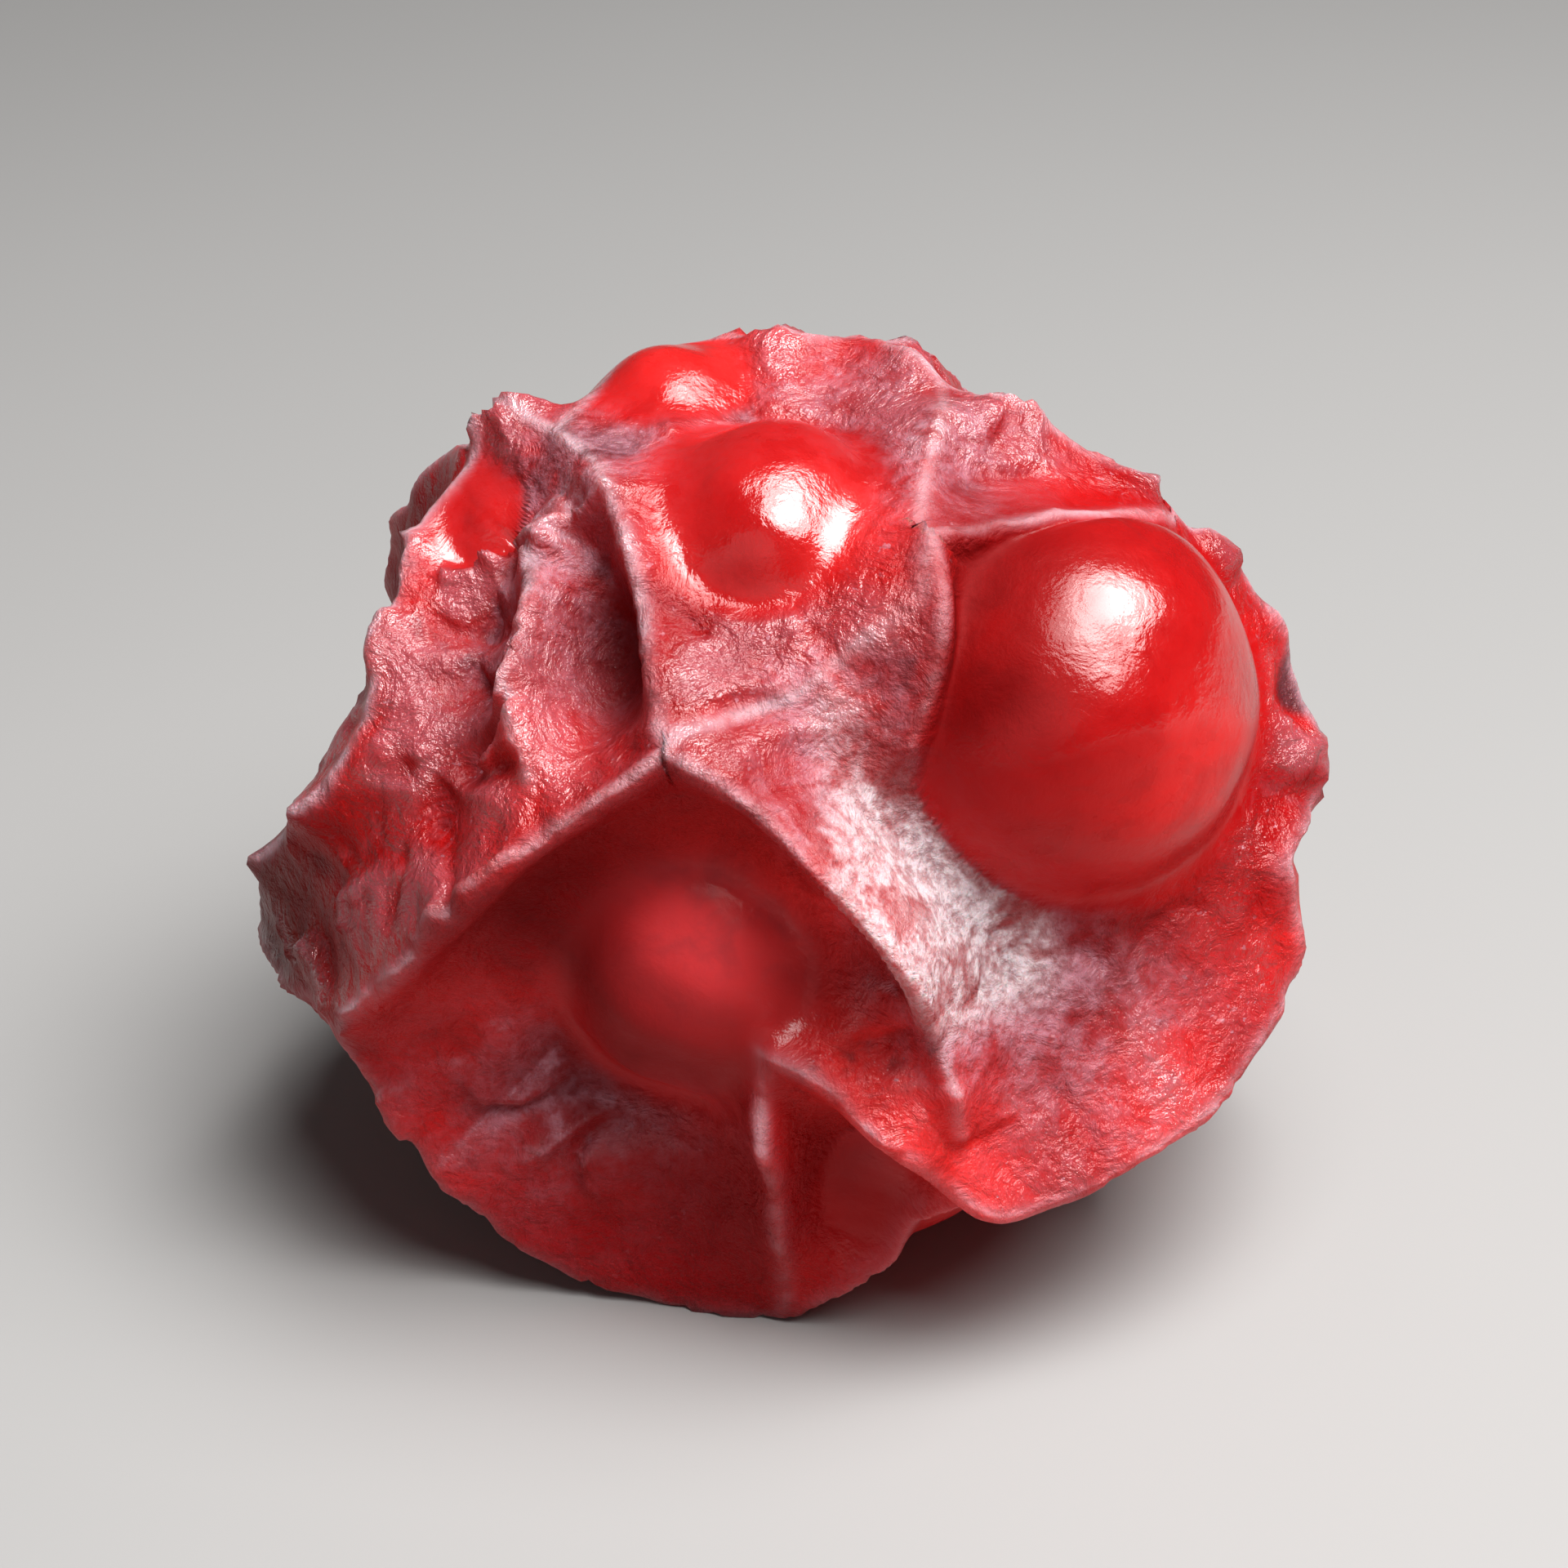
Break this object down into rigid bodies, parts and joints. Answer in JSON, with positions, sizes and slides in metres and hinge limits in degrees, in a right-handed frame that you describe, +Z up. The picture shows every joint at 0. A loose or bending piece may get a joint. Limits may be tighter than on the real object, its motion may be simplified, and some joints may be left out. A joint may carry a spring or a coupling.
{
  "type": "dried schisandra berry",
  "caption": "Dried schisandra berry: a small red fruit shrunk round its seeds, with taut skin between sharp folds, resting on a small flat spot.",
  "frame": {"origin": "on the resting surface, below the middle of the berry's bounding box", "axes": "+Z up from the small flat spot; +X along the widest way across the berry; the face with the deep dish looks towards -Y and up"},
  "size_m": [0.008, 0.0064, 0.0064],
  "materials": {
    "dried_skin": "wrinkled, deep translucent red with an oily gloss on the seed bumps and a pale frosted bloom on the upward webs of skin"
  },
  "bodies": {
    "root": {"dried_berry": "dried_skin"}
  },
  "joints": []
}
